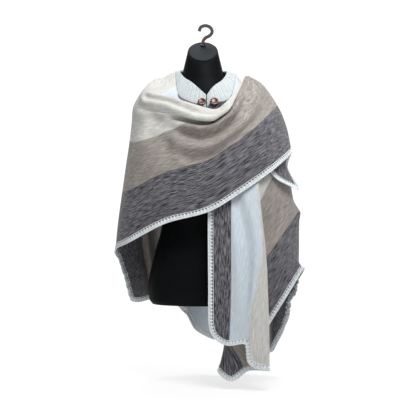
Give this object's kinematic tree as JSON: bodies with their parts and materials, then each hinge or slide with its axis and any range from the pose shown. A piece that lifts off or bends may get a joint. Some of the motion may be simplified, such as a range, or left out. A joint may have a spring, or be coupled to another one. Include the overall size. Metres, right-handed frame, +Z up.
{
  "type": "andean poncho on a hanging dress form with its hook",
  "caption": "An open-fronted Andean poncho with wide stripes, a knit collar and crocheted edges, its right front thrown over the left shoulder of a glossy black hanging form.",
  "frame": {"origin": "the highest point inside the hook's bend, where the form hangs from a rail", "axes": "X to the wearer's left, Y to the wearer's back, Z up"},
  "size_m": [0.5918, 0.3497, 1.0924],
  "materials": {
    "wool": "matt heathered wool",
    "knit": "matt rib knit",
    "crochet": "matt yarn",
    "horn": "polished",
    "plastic": "glossy",
    "plate": "satin",
    "metal": "satin black"
  },
  "bodies": {
    "root": {"right_width": "wool", "left_width": "wool", "collar": "knit", "button_right": "horn", "button_left": "horn", "edging_right": "crochet", "edging_end": "crochet", "edging_left": "crochet", "form_torso": "plastic", "neck_plate": "plate", "hook": "metal"}
  },
  "joints": []
}
